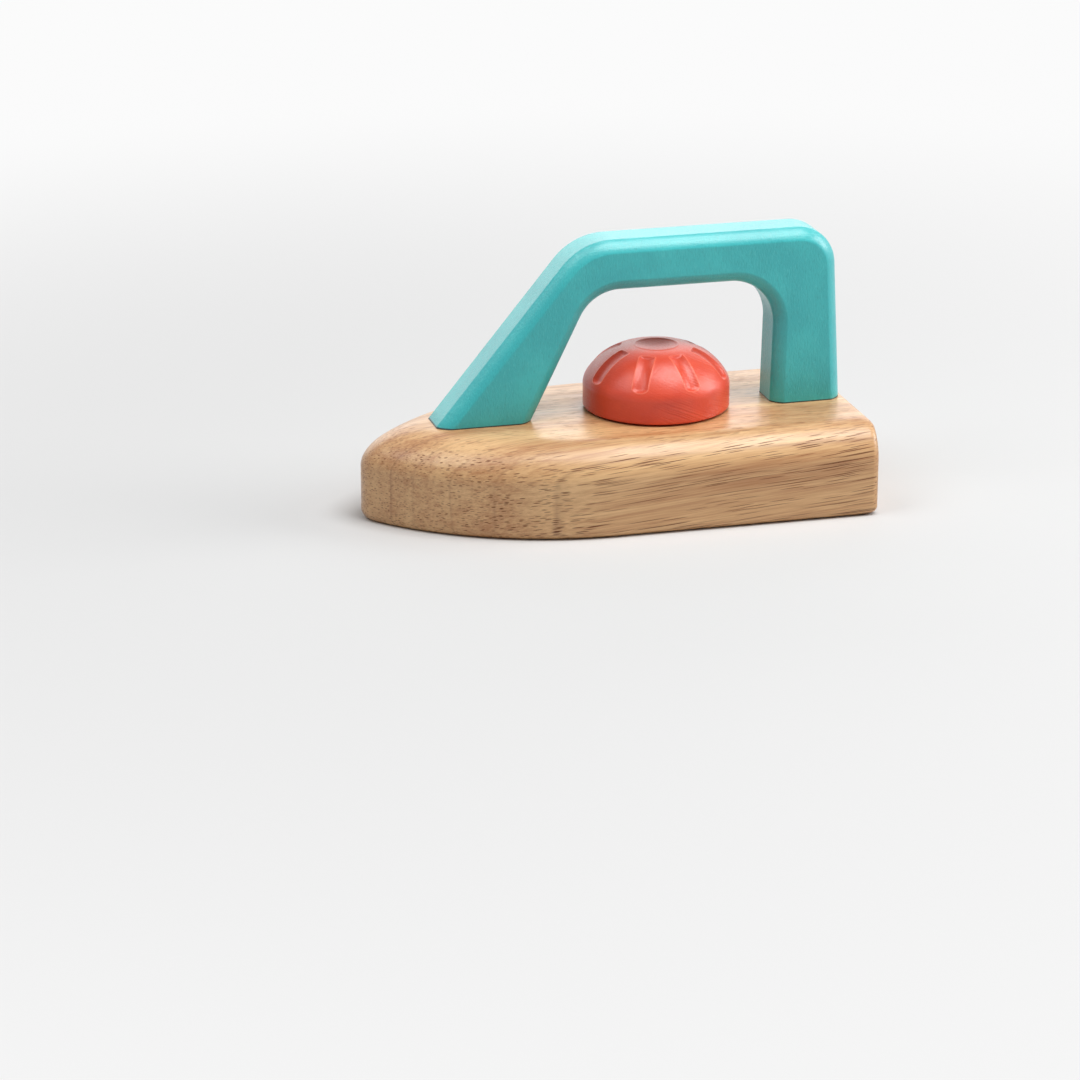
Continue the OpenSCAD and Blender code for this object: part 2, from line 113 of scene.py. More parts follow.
def post(x, y, fromZ, toZ, radius):
    # round cutter, in millimetres
    bm = bmesh.new()
    bmesh.ops.create_cone(bm, cap_ends=True, segments=cutterSides, radius1=radius * mm,
                          radius2=radius * mm, depth=(toZ - fromZ) * mm)
    bmesh.ops.translate(bm, verts=bm.verts, vec=(x * mm, y * mm, (fromZ + toZ) / 2 * mm))
    mesh = bpy.data.meshes.new("cutter")
    bm.to_mesh(mesh)
    bm.free()
    obj = bpy.data.objects.new("cutter", mesh)
    bpy.context.scene.collection.objects.link(obj)
    return obj


def fixNormals(obj):
    bm = bmesh.new()
    bm.from_mesh(obj.data)
    bmesh.ops.remove_doubles(bm, verts=bm.verts, dist=weldGap)
    bmesh.ops.recalc_face_normals(bm, faces=bm.faces)
    bm.to_mesh(obj.data)
    bm.free()


def bake(obj):
    # applies the modifiers and keeps the result as the object's mesh
    made = bpy.data.meshes.new_from_object(obj.evaluated_get(bpy.context.evaluated_depsgraph_get()))
    obj.modifiers.clear()
    old = obj.data
    obj.data = made
    bpy.data.meshes.remove(old)


def cutAway(obj, cutters):
    for cutter in cutters:
        tool = obj.modifiers.new("cut", "BOOLEAN")
        tool.operation = "DIFFERENCE"
        tool.solver = "EXACT"
        tool.object = cutter
    bake(obj)
    for cutter in cutters:
        bpy.data.objects.remove(cutter)


def breakEdges(obj, width, limit, segments):
    tool = obj.modifiers.new("break", "BEVEL")
    tool.width = width * mm
    tool.segments = segments
    tool.limit_method = "ANGLE"
    tool.angle_limit = math.radians(limit)
    bake(obj)


def shadeSmooth(obj, limit=35):
    for face in obj.data.polygons:
        face.use_smooth = True
    obj.data.set_sharp_from_angle(angle=math.radians(limit))


# shader building

def wire(mat, value, socket):
    if isinstance(value, bpy.types.NodeSocket):
        mat.node_tree.links.new(value, socket)
    else:
        socket.default_value = value


def add(mat, kind, inputs=None, **settings):
    node = mat.node_tree.nodes.new("ShaderNode" + kind)
    for key, value in settings.items():
        setattr(node, key, value)
    for key, value in (inputs or {}).items():
        wire(mat, value, node.inputs[key])
    return node


def newMaterial(name, **sockets):
    mat = bpy.data.materials.new(name)
    mat.use_nodes = True
    shader = mat.node_tree.nodes["Principled BSDF"]
    for key, value in sockets.items():
        shader.inputs[key.replace("_", " ")].default_value = value
    return mat, shader


def place(mat):
    # position in the piece, in millimetres
    coord = add(mat, "TexCoord").outputs["Object"]
    return add(mat, "VectorMath", {0: coord, "Scale": 1 / mm}, operation="SCALE").outputs[0]


def stretched(mat, vec, scale):
    return add(mat, "VectorMath", {0: vec, 1: scale}, operation="MULTIPLY").outputs[0]


def turned(mat, vec, axis, deg):
    return add(mat, "VectorRotate", {"Vector": vec, "Angle": math.radians(deg)},
               rotation_type=axis + "_AXIS").outputs[0]


def noiseAt(mat, vec, detail, roughness=0.5, out="Fac"):
    return add(mat, "TexNoise", {"Vector": vec, "Scale": 1.0, "Detail": detail,
                                 "Roughness": roughness}).outputs[out]


def calc(mat, op, a, b=0.0):
    return add(mat, "Math", {0: a, 1: b}, operation=op).outputs[0]


def remap(mat, value, low, high, toLow=0.0, toHigh=1.0, kind="SMOOTHSTEP"):
    return add(mat, "MapRange", {"Value": value, "From Min": low, "From Max": high, "To Min": toLow,
                                 "To Max": toHigh}, interpolation_type=kind).outputs[0]


def blendColour(mat, amount, first, second):
    node = add(mat, "Mix", data_type="RGBA")
    wire(mat, amount, node.inputs[0])
    wire(mat, first, node.inputs[6])
    wire(mat, second, node.inputs[7])
    return node.outputs[2]


def rampOf(mat, value, stops):
    node = add(mat, "ValToRGB", {"Fac": value})
    band = node.color_ramp
    while len(band.elements) > 1:
        band.elements.remove(band.elements[-1])
    for i, (at, level) in enumerate(stops):
        stop = band.elements[0] if i == 0 else band.elements.new(at)
        stop.position = at
        stop.color = (level, level, level, 1)
    return node.outputs[0]


def bumpOf(mat, height, depth, before=None):
    inputs = {"Height": height, "Distance": depth * mm, "Strength": 1.0}
    if before is not None:
        inputs["Normal"] = before
    return add(mat, "Bump", inputs).outputs[0]


def colour(red, green, blue):
    # screen colour, 0 to 255, as linear light
    def linear(c):
        c = c / 255
        return c / 12.92 if c <= 0.04045 else ((c + 0.055) / 1.055) ** 2.4
    return (linear(red), linear(green), linear(blue), 1.0)


# wooden block

block = {
    "len": 150.5, "width": 75.5, "height": 28.0, "noseR": 8.0, "sideR": 86.8,
    "topRound": 11.0, "noseRun": 23.0, "noseRise": 12.0, "soleRound": 3.0,
    "heelBreak": 2.4, "heelCornerR": 2.5,
    "sideSteps": 60, "noseSteps": 40, "cornerSteps": 10, "roundSteps": 36, "runSteps": 24, "soleSteps": 12,
    # top and radius of what is drilled up from the sole: bush hole, well and plug recess
    "drilled": [(29, 5.55), (10, 9.0), (3.2, 11.05)], "drillFrom": -1, "holeGap": 0.06, "overrun": 1.0,
}
heelX = block["len"] / 2


def blockOutline(sideIn, noseIn, heelIn):
    cornerR, noseR = block["heelCornerR"], block["noseR"]
    corner = arcPoints(Vector((heelX - heelIn - cornerR, block["width"] / 2 - sideIn - cornerR)), cornerR,
                       0, 90, block["cornerSteps"])
    sideR = block["sideR"] - sideIn
    sideMidY = block["sideR"] - block["width"] / 2
    noseMidX = -heelX + noseIn + noseR
    sideMidX = noseMidX + math.sqrt((sideR - noseR) ** 2 - sideMidY ** 2)
    halfDeg = math.degrees(math.asin(sideMidY / (sideR - noseR)))
    side = arcPoints(Vector((sideMidX, -sideMidY)), sideR, 90, 180 - halfDeg, block["sideSteps"])
    nose = arcPoints(Vector((noseMidX, 0)), noseR, 180 - halfDeg, 180 + halfDeg, block["noseSteps"])
    # straight run from the heel corner to where the side starts to curve
    steps = block["runSteps"]
    run = [corner[-1].lerp(side[0], i / steps) for i in range(1, steps)]
    far = corner + run + side
    return far + nose[1:-1] + [Vector((p.x, -p.y)) for p in reversed(far)]


def makeBlock():
    height, sole = block["height"], block["soleRound"]
    low, steps = block["soleSteps"], block["roundSteps"]
    levels = [sole * (1 - math.cos(math.radians(90 * i / low))) for i in range(low + 1)]
    levels += [height - block["noseRise"] * (1 - math.sin(math.radians(90 * i / steps)))
               for i in range(steps + 1)]
    rings = []
    for z in levels:
        soleIn = drawnIn(sole, sole, z)
        sideIn = max(soleIn, drawnIn(block["topRound"], block["topRound"], height - z))
        noseIn = max(soleIn, drawnIn(block["noseRun"], block["noseRise"], height - z))
        heelIn = drawnIn(block["heelBreak"], block["heelBreak"], min(z, height - z))
        rings.append([(p.x, p.y, z) for p in blockOutline(sideIn, noseIn, heelIn)])
    obj = loft("woodenBlock", rings)
    fixNormals(obj)
    return obj


def holeFor(node, below=block["holeGap"], above=block["holeGap"]):
    # round hole that clears a turned piece by a small gap
    low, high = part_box(node)
    mid = (low + high) / 2
    radius = (high.x - low.x) / 2 / mm + block["holeGap"]
    return post(mid.x / mm, mid.y / mm, low.z / mm - below, high.z / mm + above, radius)


dowels = ["front_dowel_fore", "front_dowel_aft", "rear_dowel_fore", "rear_dowel_aft"]
dialX = 16.25

blockPiece = makeBlock()
cutters = [holeFor(name, above=block["overrun"]) for name in dowels]
cutters += [post(dialX, 0, block["drillFrom"], top, radius) for top, radius in block["drilled"]]
cutters.append(holeFor("plunger_sleeve", above=block["overrun"]))
cutAway(blockPiece, cutters)
shadeSmooth(blockPiece)
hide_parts("base_block")
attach(blockPiece, "iron")
print("block made:", len(blockPiece.data.polygons), "faces")


# arched handle

arch = {
    "height": 54.1, "thick": 16.8, "bar": 15.4, "edgeRound": 3.6,
    "rearGap": 2.5, "rearFoot": 22.0, "feetGap": 75.0, "frontFoot": 29.2,
    "frontOuterDeg": 50.4, "frontInnerDeg": 63.8, "rearOuterDeg": 87.1, "rearInnerDeg": 88.5,
    "frontOuterR": 20.0, "frontInnerR": 13.5, "rearOuterR": 12.2, "rearInnerR": 13.5,
    "bendSteps": 32, "edgeSteps": 24, "legSteps": 16,
    "footBreak": 0.55, "breakOverDeg": 60, "breakSteps": 3,
    "edgePower": 1.4, "faceRing": 0.3, "dowelSkip": 5.0,
}


def handleOutline(drawn):
    floorZ = block["height"]
    topZ = floorZ + arch["height"]
    rearOutX = heelX - arch["rearGap"]
    rearInX = rearOutX - arch["rearFoot"]
    frontInX = rearInX - arch["feetGap"]
    frontOutX = frontInX - arch["frontFoot"]
    rearOut = heading(180 - arch["rearOuterDeg"])
    rearIn = heading(arch["rearInnerDeg"])
    frontOut = heading(arch["frontOuterDeg"])
    frontIn = heading(arch["frontInnerDeg"])
    flat = Vector((1, 0))
    rearOutP = Vector((rearOutX, floorZ)) + drawn * Vector((-rearOut.y, rearOut.x))
    rearInP = Vector((rearInX, floorZ)) + drawn * Vector((rearIn.y, -rearIn.x))
    frontOutP = Vector((frontOutX, floorZ)) + drawn * Vector((frontOut.y, -frontOut.x))
    frontInP = Vector((frontInX, floorZ)) + drawn * Vector((-frontIn.y, frontIn.x))
    topP = Vector((0, topZ - drawn))
    underP = Vector((0, topZ - arch["bar"] + drawn))
    floorP = Vector((0, floorZ))
    a = meet(rearOutP, rearOut, floorP, flat)
    b = meet(rearOutP, rearOut, topP, flat)
    c = meet(frontOutP, frontOut, topP, flat)
    d = meet(frontOutP, frontOut, floorP, flat)
    e = meet(frontInP, frontIn, floorP, flat)
    f = meet(frontInP, frontIn, underP, flat)
    g = meet(rearInP, rearIn, underP, flat)
    h = meet(rearInP, rearIn, floorP, flat)
    bend = arch["bendSteps"]
    leg = arch["legSteps"]

    def run(p, q):
        return [p.lerp(q, i / leg) for i in range(1, leg)]
    rearOuter = fillet(a, b, c, arch["rearOuterR"] - drawn, bend)
    frontOuter = fillet(b, c, d, arch["frontOuterR"] - drawn, bend)
    frontInner = fillet(e, f, g, arch["frontInnerR"] + drawn, bend)
    rearInner = fillet(f, g, h, arch["rearInnerR"] + drawn, bend)
    outer = [a] + run(a, rearOuter[0]) + rearOuter + run(rearOuter[-1], frontOuter[0]) + frontOuter
    outer += run(frontOuter[-1], d) + [d]
    inner = [e] + run(e, frontInner[0]) + frontInner + run(frontInner[-1], rearInner[0]) + rearInner
    inner += run(rearInner[-1], h) + [h]
    return outer + inner


def makeHandle():
    steps = arch["edgeSteps"]
    slices = [(arch["edgeRound"] + arch["faceRing"], arch["thick"] / 2)]
    for i in range(steps + 1):
        turn = math.radians(90 * i / steps)
        inward = 1 - math.sin(turn) ** (2 / arch["edgePower"])
        back = 1 - max(math.cos(turn), 0.0) ** (2 / arch["edgePower"])
        slices.append((arch["edgeRound"] * inward, arch["thick"] / 2 - arch["edgeRound"] * back))
    slices.append((0.0, arch["thick"] / 2 - arch["edgeRound"] - arch["faceRing"]))
    slices += [(drawn, -y) for drawn, y in reversed(slices)]
    rings = [[(p.x, y, p.y) for p in handleOutline(drawn)] for drawn, y in slices]
    obj = loft("handleArch", rings)
    fixNormals(obj)
    breakEdges(obj, arch["footBreak"], arch["breakOverDeg"], arch["breakSteps"])
    return obj


handlePiece = makeHandle()
cutAway(handlePiece, [holeFor(name, below=-arch["dowelSkip"]) for name in dowels])
shadeSmooth(handlePiece)
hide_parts("handle")
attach(handlePiece, "iron")
print("handle made:", len(handlePiece.data.polygons), "faces")


# turned dial

knob = {
    "dia": 44.4, "height": 18.7, "wall": 8.0, "domeR": 18.0, "shoulderR": 6.0,
    "dishDia": 13.0, "dishDepth": 1.0, "footBreak": 0.6, "lift": 28.6,
    "rimBead": 0.13, "beadOut": 0.35, "beadIn": 0.25,
    "grooves": 8, "grooveStartDeg": 15.0, "cutterDia": 8.0, "grooveDepth": 0.7,
    "topShare": 0.225, "footShare": 0.085, "topEnd": 1.0, "footEnd": 1.6, "topPower": 3.0, "footPower": 2.2,
    "lip": 0.05, "lipOut": 0.2, "lipWide": 0.25, "lipReach": 1.5, "edgeBlend": 0.005, "blendFrom": -0.6,
    "recessDia": 34.0, "recessH": 5.2, "axleDia": 8.1, "axleH": 12.25,
    "pilots": 3, "pilotRing": 9.2, "pilotStartDeg": 60, "pilotFrom": 33.0, "pilotTo": 38.85, "pilotR": 1.25,
    "turns": 480, "domeSteps": 96, "shoulderSteps": 20, "dishSteps": 24, "footSteps": 6, "wallSteps": 10,
    "smoothUnderDeg": 50,
}


def knobDome():
    # middle and angles of the dome arc, from the wall up to the dish rim
    wallTop = Vector((knob["dia"] / 2, knob["wall"]))
    rimTop = Vector((knob["dishDia"] / 2, knob["height"]))
    chord = rimTop - wallTop
    deep = math.sqrt(knob["domeR"] ** 2 - (chord.length / 2) ** 2)
    mid = (wallTop + rimTop) / 2 + deep * Vector((-chord.y, chord.x)) / chord.length
    fromDeg = math.degrees(math.atan2(wallTop.y - mid.y, wallTop.x - mid.x))
    toDeg = math.degrees(math.atan2(rimTop.y - mid.y, rimTop.x - mid.x))
    return mid, fromDeg, toDeg


def grooveCut(across, startDeg, endDeg, deg):
    # depth of the trough of a round-nosed cutter with rounded ends, and a faint lip round it
    cutR = knob["cutterDia"] / 2
    lift = cutR - knob["grooveDepth"]
    half = math.sqrt(cutR ** 2 - lift ** 2)
    toFoot = math.radians(startDeg - deg) * knob["domeR"] + knob["footEnd"]
    toTop = math.radians(deg - endDeg) * knob["domeR"] + knob["topEnd"]
    side = abs(across) / half
    footPower, topPower = knob["footPower"], knob["topPower"]
    foot = (side ** footPower + max(0.0, toFoot / knob["footEnd"]) ** footPower) ** (1 / footPower)
    top = (side ** topPower + max(0.0, toTop / knob["topEnd"]) ** topPower) ** (1 / topPower)
    away = max(foot, top) * half
    if away > half + knob["lipReach"]:
        return 0.0
    cut = math.sqrt(max(cutR ** 2 - min(away, cutR) ** 2, 0.0)) - lift
    cut = (cut + math.sqrt(cut * cut + knob["edgeBlend"])) / 2 if cut > knob["blendFrom"] else 0.0
    return cut - knob["lip"] * math.exp(-((away - half - knob["lipOut"]) / knob["lipWide"]) ** 2)


def makeDial():
    mid, fromDeg, toDeg = knobDome()
    sweep = toDeg - fromDeg
    startDeg = fromDeg + sweep * knob["footShare"]
    endDeg = toDeg - sweep * knob["topShare"]
    radius, turns = knob["dia"] / 2, knob["turns"]
    shoulderX = radius - knob["shoulderR"]
    shoulderUp = math.sqrt((knob["domeR"] - knob["shoulderR"]) ** 2 - (shoulderX - mid.x) ** 2)
    shoulderDeg = math.degrees(math.atan2(shoulderUp, shoulderX - mid.x))
    shoulderMid = Vector((shoulderX, mid.y + shoulderUp))
    dishR = ((knob["dishDia"] / 2) ** 2 + knob["dishDepth"] ** 2) / (2 * knob["dishDepth"])
    dishDeg = math.degrees(math.asin(knob["dishDia"] / 2 / dishR))
    # section from the axle hole in the underside, out and up to the middle of the dish
    section = [(knob["axleDia"] / 2, knob["axleH"]), (knob["axleDia"] / 2, knob["recessH"]),
               (knob["recessDia"] / 2, knob["recessH"]), (knob["recessDia"] / 2, 0.0)]
    foot = knob["footBreak"]
    for i in range(knob["footSteps"] + 1):
        turn = math.radians(90 * i / knob["footSteps"])
        section.append((radius - foot + foot * math.sin(turn), foot - foot * math.cos(turn)))
    wall = knob["wallSteps"]
    section += [(radius, foot + (shoulderMid.y - foot) * i / wall) for i in range(1, wall)]
    section = [(r, z, None, None) for r, z in section]
    # rows that grooves may cross: radius, height, place along the dome and direction out of the surface
    for i in range(knob["shoulderSteps"]):
        out = shoulderDeg * i / knob["shoulderSteps"]
        p = shoulderMid + knob["shoulderR"] * heading(out)
        section.append((p.x, p.y, shoulderDeg - (shoulderDeg - out) * knob["shoulderR"] / knob["domeR"], out))
    for i in range(knob["domeSteps"] + 1):
        deg = shoulderDeg + (toDeg - shoulderDeg) * i / knob["domeSteps"]
        far = math.radians(toDeg - deg) * knob["domeR"]
        bead = knob["rimBead"] * math.exp(-(far / knob["beadOut"]) ** 2)
        p = mid + (knob["domeR"] + bead) * heading(deg)
        section.append((p.x, p.y, deg, deg))
    dishMid = knob["height"] - knob["dishDepth"] + dishR
    for i in range(1, knob["dishSteps"]):
        part = i / knob["dishSteps"]
        turn = math.radians(dishDeg * (1 - part))
        far = math.radians(dishDeg * part) * dishR
        bead = knob["rimBead"] * math.exp(-(far / knob["beadIn"]) ** 2)
        section.append((dishR * math.sin(turn), dishMid - dishR * math.cos(turn) + bead, None, None))
    verts, shade = [], []
    step = 360 / knob["grooves"]
    for r, z, deg, outDeg in section:
        for k in range(turns):
            around = 360 * k / turns
            turn = math.radians(around)
            cut, x, up = 0.0, r, z
            if deg is not None:
                off = (around - knob["grooveStartDeg"] + step / 2) % step - step / 2
                cut = grooveCut(r * math.sin(math.radians(off)), startDeg, endDeg, deg)
                out = heading(outDeg)
                x, up = r - cut * out.x, z - cut * out.y
            verts.append((dialX + x * math.cos(turn), x * math.sin(turn), knob["lift"] + up))
            shade.append(cut / knob["grooveDepth"])
    rows = len(section)
    faces = []
    for j in range(rows - 1):
        for k in range(turns):
            n = (k + 1) % turns
            faces.append((j * turns + k, j * turns + n, (j + 1) * turns + n, (j + 1) * turns + k))
    verts.append((dialX, 0, knob["lift"] + knob["height"] - knob["dishDepth"]))
    verts.append((dialX, 0, knob["lift"] + knob["axleH"]))
    shade += [0.0, 0.0]
    top, pit = len(verts) - 2, len(verts) - 1
    for k in range(turns):
        n = (k + 1) % turns
        faces.append(((rows - 1) * turns + k, (rows - 1) * turns + n, top))
        faces.append((n, k, pit))
    obj = meshObject("groovedDial", verts, faces)
    mark = obj.data.attributes.new("groove", "FLOAT", "POINT")
    mark.data.foreach_set("value", shade)
    return obj


dialPiece = makeDial()
pilots = []
for k in range(knob["pilots"]):
    at = knob["pilotRing"] * heading(knob["pilotStartDeg"] + 360 * k / knob["pilots"])
    pilots.append(post(dialX + at.x, at.y, knob["pilotFrom"], knob["pilotTo"], knob["pilotR"]))
cutAway(dialPiece, pilots)
shadeSmooth(dialPiece, knob["smoothUnderDeg"])
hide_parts("dial")
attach(dialPiece, "dial_set")
print("dial made:", len(dialPiece.data.polygons), "faces")


# lacquered wood

wood = {
    "light": colour(228, 186, 134), "dark": colour(176, 121, 76), "pore": colour(92, 44, 20),
    "line": colour(128, 80, 48), "riseDeg": 5.0, "poreAmount": 0.92, "lineAmount": 0.5,
    "rough": 0.34, "coat": 0.22, "coatRough": 0.28, "topFade": 0.6, "endFade": 0.35, "endDark": 0.25,
    "rings": [-35.3, -29.5, -23.3, -16.0, -10.6, 1.5, 9.5, 18.0, 26.0], "ringSpan": 40,
    # each ring line as offsets and levels: a slow start and a sharp end
    "ringStops": [(-0.006, 0.0), (-0.0006, 0.9), (0.0018, 0.0)],
    "bands": 0.40, "streaks": 0.32, "fibre": 0.34, "toneLow": 0.38, "toneHigh": 0.69,
    # stretch, share left out and width of the long and of the short pores
    "longPores": ((0.024, 0.9, 1.75), 0.10, 0.31), "shortPores": ((0.055, 0.75, 2.4), 0.30, 0.28),
    "poreEdge": 0.6, "poreRough": 0.12, "poreDepth": 0.02, "fibreDepth": 0.015, "napDepth": 0.05,
}


def makeWood(name, turnZ=0.0, shift=(0, 0, 0)):
    mat, shader = newMaterial(name, Roughness=wood["rough"], Coat_Roughness=wood["coatRough"])
    spot = place(mat)
    if turnZ:
        spot = turned(mat, spot, "Z", turnZ)
    spot = add(mat, "VectorMath", {0: spot, 1: shift}, operation="ADD").outputs[0]
    grain = turned(mat, spot, "Y", wood["riseDeg"])
    # slow waviness of the fibres
    sway = noiseAt(mat, stretched(mat, grain, (0.012, 0.03, 0.03)), detail=1.5, out="Color")
    sway = add(mat, "VectorMath", {0: sway, 1: (0.5, 0.5, 0.5)}, operation="SUBTRACT").outputs[0]
    sway = stretched(mat, sway, (0.0, 2.2, 3.0))
    grain = add(mat, "VectorMath", {0: grain, 1: sway}, operation="ADD").outputs[0]
    parts = add(mat, "SeparateXYZ", {0: grain})
    # growth rings stand nearly upright and run along the block
    span = wood["ringSpan"]
    ringAt = remap(mat, parts.outputs["Y"], -span, span, kind="LINEAR")
    stops = []
    for y in wood["rings"]:
        at = (y + span) / (2 * span)
        stops += [(at + off, level) for off, level in wood["ringStops"]]
    rings = rampOf(mat, ringAt, stops)
    broken = noiseAt(mat, stretched(mat, grain, (0.02, 0.4, 0.12)), detail=3)
    rings = calc(mat, "MULTIPLY", rings, remap(mat, broken, 0.25, 0.6, 0.25, 1.0))
    # tone: broad bands, streaks and fine fibre
    bands = noiseAt(mat, stretched(mat, grain, (0.006, 0.12, 0.07)), detail=2)
    streaks = noiseAt(mat, stretched(mat, grain, (0.014, 0.5, 0.9)), detail=4, roughness=0.65)
    fibre = noiseAt(mat, stretched(mat, grain, (0.045, 1.8, 2.4)), detail=4, roughness=0.7)
    tone = calc(mat, "ADD", calc(mat, "MULTIPLY", bands, wood["bands"]),
                calc(mat, "MULTIPLY", streaks, wood["streaks"]))
    tone = calc(mat, "ADD", tone, calc(mat, "MULTIPLY", fibre, wood["fibre"]))
    tone = remap(mat, tone, wood["toneLow"], wood["toneHigh"])
    base = blendColour(mat, tone, wood["light"], wood["dark"])
    base = blendColour(mat, calc(mat, "MULTIPLY", rings, wood["lineAmount"]), base, wood["line"])

    def poreLayer(scale, keep, wide):
        cells = add(mat, "TexVoronoi", {"Vector": stretched(mat, grain, scale), "Scale": 1.0,
                                        "Randomness": 1.0})
        pick = add(mat, "SeparateColor", {0: cells.outputs["Color"]}).outputs[0]
        kept = calc(mat, "GREATER_THAN", pick, keep)
        inside = remap(mat, cells.outputs["Distance"], wide, wide * wood["poreEdge"])
        return calc(mat, "MULTIPLY", inside, kept)
    crowd = noiseAt(mat, stretched(mat, grain, (0.010, 0.14, 0.14)), detail=2)
    crowd = remap(mat, crowd, 0.36, 0.56, 0.65, 1.0)
    pores = calc(mat, "MAXIMUM", poreLayer(*wood["longPores"]), poreLayer(*wood["shortPores"]))
    pores = calc(mat, "MULTIPLY", pores, crowd)
    # pores show less on the top, and where the fibres end on the surface, which is darker
    facing = add(mat, "SeparateXYZ", {0: add(mat, "NewGeometry").outputs["Normal"]})
    upward = remap(mat, facing.outputs["Z"], 0.55, 0.95)
    endOn = remap(mat, calc(mat, "ABSOLUTE", facing.outputs["X"]), 0.25, 0.85)
    base = blendColour(mat, calc(mat, "MULTIPLY", endOn, wood["endDark"]), base, wood["line"])
    pores = calc(mat, "MULTIPLY", pores, remap(mat, upward, 0, 1, 1.0, 1 - wood["topFade"]))
    pores = calc(mat, "MULTIPLY", pores, remap(mat, endOn, 0, 1, 1.0, 1 - wood["endFade"]))
    base = blendColour(mat, calc(mat, "MULTIPLY", pores, wood["poreAmount"]), base, wood["pore"])
    wire(mat, base, shader.inputs["Base Color"])
    gloss = noiseAt(mat, stretched(mat, grain, (0.05, 0.3, 0.3)), detail=3)
    gloss = remap(mat, gloss, 0.3, 0.7, wood["rough"] - 0.05, wood["rough"] + 0.07)
    gloss = calc(mat, "ADD", gloss, calc(mat, "MULTIPLY", pores, wood["poreRough"]))
    wire(mat, gloss, shader.inputs["Roughness"])
    sound = calc(mat, "SUBTRACT", 1.0, pores)
    wire(mat, calc(mat, "MULTIPLY", sound, wood["coat"]), shader.inputs["Coat Weight"])
    wire(mat, remap(mat, pores, 0, 1, 0.5, 0.30), shader.inputs["Specular IOR Level"])
    normal = bumpOf(mat, sound, wood["poreDepth"])
    normal = bumpOf(mat, fibre, wood["fibreDepth"], normal)
    # raised grain where the fibres end
    nap = noiseAt(mat, stretched(mat, grain, (1.4, 3.0, 3.0)), detail=2, roughness=0.6)
    normal = bumpOf(mat, calc(mat, "MULTIPLY", nap, endOn), wood["napDepth"], normal)
    wire(mat, normal, shader.inputs["Normal"])
    return mat


# paint on the handle

teal = {
    "body": colour(54, 188, 190), "thinPaintAndHighlight": colour(104, 212, 210), "deep": colour(44, 174, 178),
    # the darkest teal here is painted contact shade along the foot of the handle
    "pit": colour(36, 150, 152), "paintedFootShade": colour(20, 52, 54), "paintedFootShadeFull": 0.25, "paintedFootShadeEnd": 0.50,
    "rough": 0.34, "coat": 0.45, "coatRough": 0.24, "grainDepth": 0.04, "speckDepth": 0.12,
    "streakAndSheenAmount": 0.45, "streakRough": 0.20, "thinAmount": 0.26, "pitAmount": 0.40,
}


def makeTeal():
    mat, shader = newMaterial("teal paint", Coat_Weight=teal["coat"], Coat_Roughness=teal["coatRough"])
    spot = place(mat)
    facing = add(mat, "SeparateXYZ", {0: add(mat, "NewGeometry").outputs["Normal"]}).outputs["Z"]
    upward = remap(mat, facing, 0.25, 0.75)
    grain = noiseAt(mat, stretched(mat, spot, (0.06, 1.6, 1.6)), detail=3, roughness=0.6)
    speck = noiseAt(mat, stretched(mat, spot, (2.2, 2.2, 0.8)), detail=3, roughness=0.6)
    cloud = noiseAt(mat, stretched(mat, spot, (0.05, 0.05, 0.05)), detail=3)
    base = blendColour(mat, remap(mat, cloud, 0.35, 0.65), teal["body"], teal["deep"])
    # pale lengthwise streaks on the upward faces only: grain under the paint, and partly a painted sheen that
    # lightens the top of the handle
    streakAndSheen = calc(mat, "MULTIPLY", remap(mat, grain, 0.46, 0.68, 0.0, teal["streakAndSheenAmount"]), upward)
    base = blendColour(mat, streakAndSheen, base, teal["thinPaintAndHighlight"])
    base = blendColour(mat, remap(mat, speck, 0.54, 0.76, 0.0, teal["thinAmount"]), base, teal["thinPaintAndHighlight"])
    base = blendColour(mat, remap(mat, speck, 0.46, 0.26, 0.0, teal["pitAmount"]), base, teal["pit"])
    # painted contact shade: the paint turns dark near the foot of the handle, where it meets the block
    height = add(mat, "SeparateXYZ", {0: spot}).outputs["Z"]
    paintedFootShade = remap(mat, height, block["height"] + teal["paintedFootShadeEnd"], block["height"] + teal["paintedFootShadeFull"])
    base = blendColour(mat, paintedFootShade, base, teal["paintedFootShade"])
    wire(mat, base, shader.inputs["Base Color"])
    gloss = remap(mat, speck, 0.3, 0.7, teal["rough"] - 0.04, teal["rough"] + 0.10)
    gloss = calc(mat, "ADD", gloss, calc(mat, "MULTIPLY", streakAndSheen, teal["streakRough"]))
    wire(mat, gloss, shader.inputs["Roughness"])
    normal = bumpOf(mat, calc(mat, "MULTIPLY", grain, upward), teal["grainDepth"])
    normal = bumpOf(mat, speck, teal["speckDepth"], normal)
    wire(mat, normal, shader.inputs["Normal"])
    return mat


# paint on the dial

red = {
    # the pale colour serves thin paint and also painted highlights
    "body": colour(220, 68, 34), "deep": colour(194, 51, 29), "thinPaintAndHighlight": colour(240, 112, 82),
    "rough": 0.38, "coat": 0.25, "coatRough": 0.22, "turnDepth": 0.025, "speckDepth": 0.06,
    "sawDepth": 0.050, "sawTilt": (0.42, 0.10, 0.90), "sawAmount": 0.26,
    "grooveShade": 0.30, "lipHighlight": 0.55, "thinAmount": 0.25, "cloudAmount": 0.5,
}


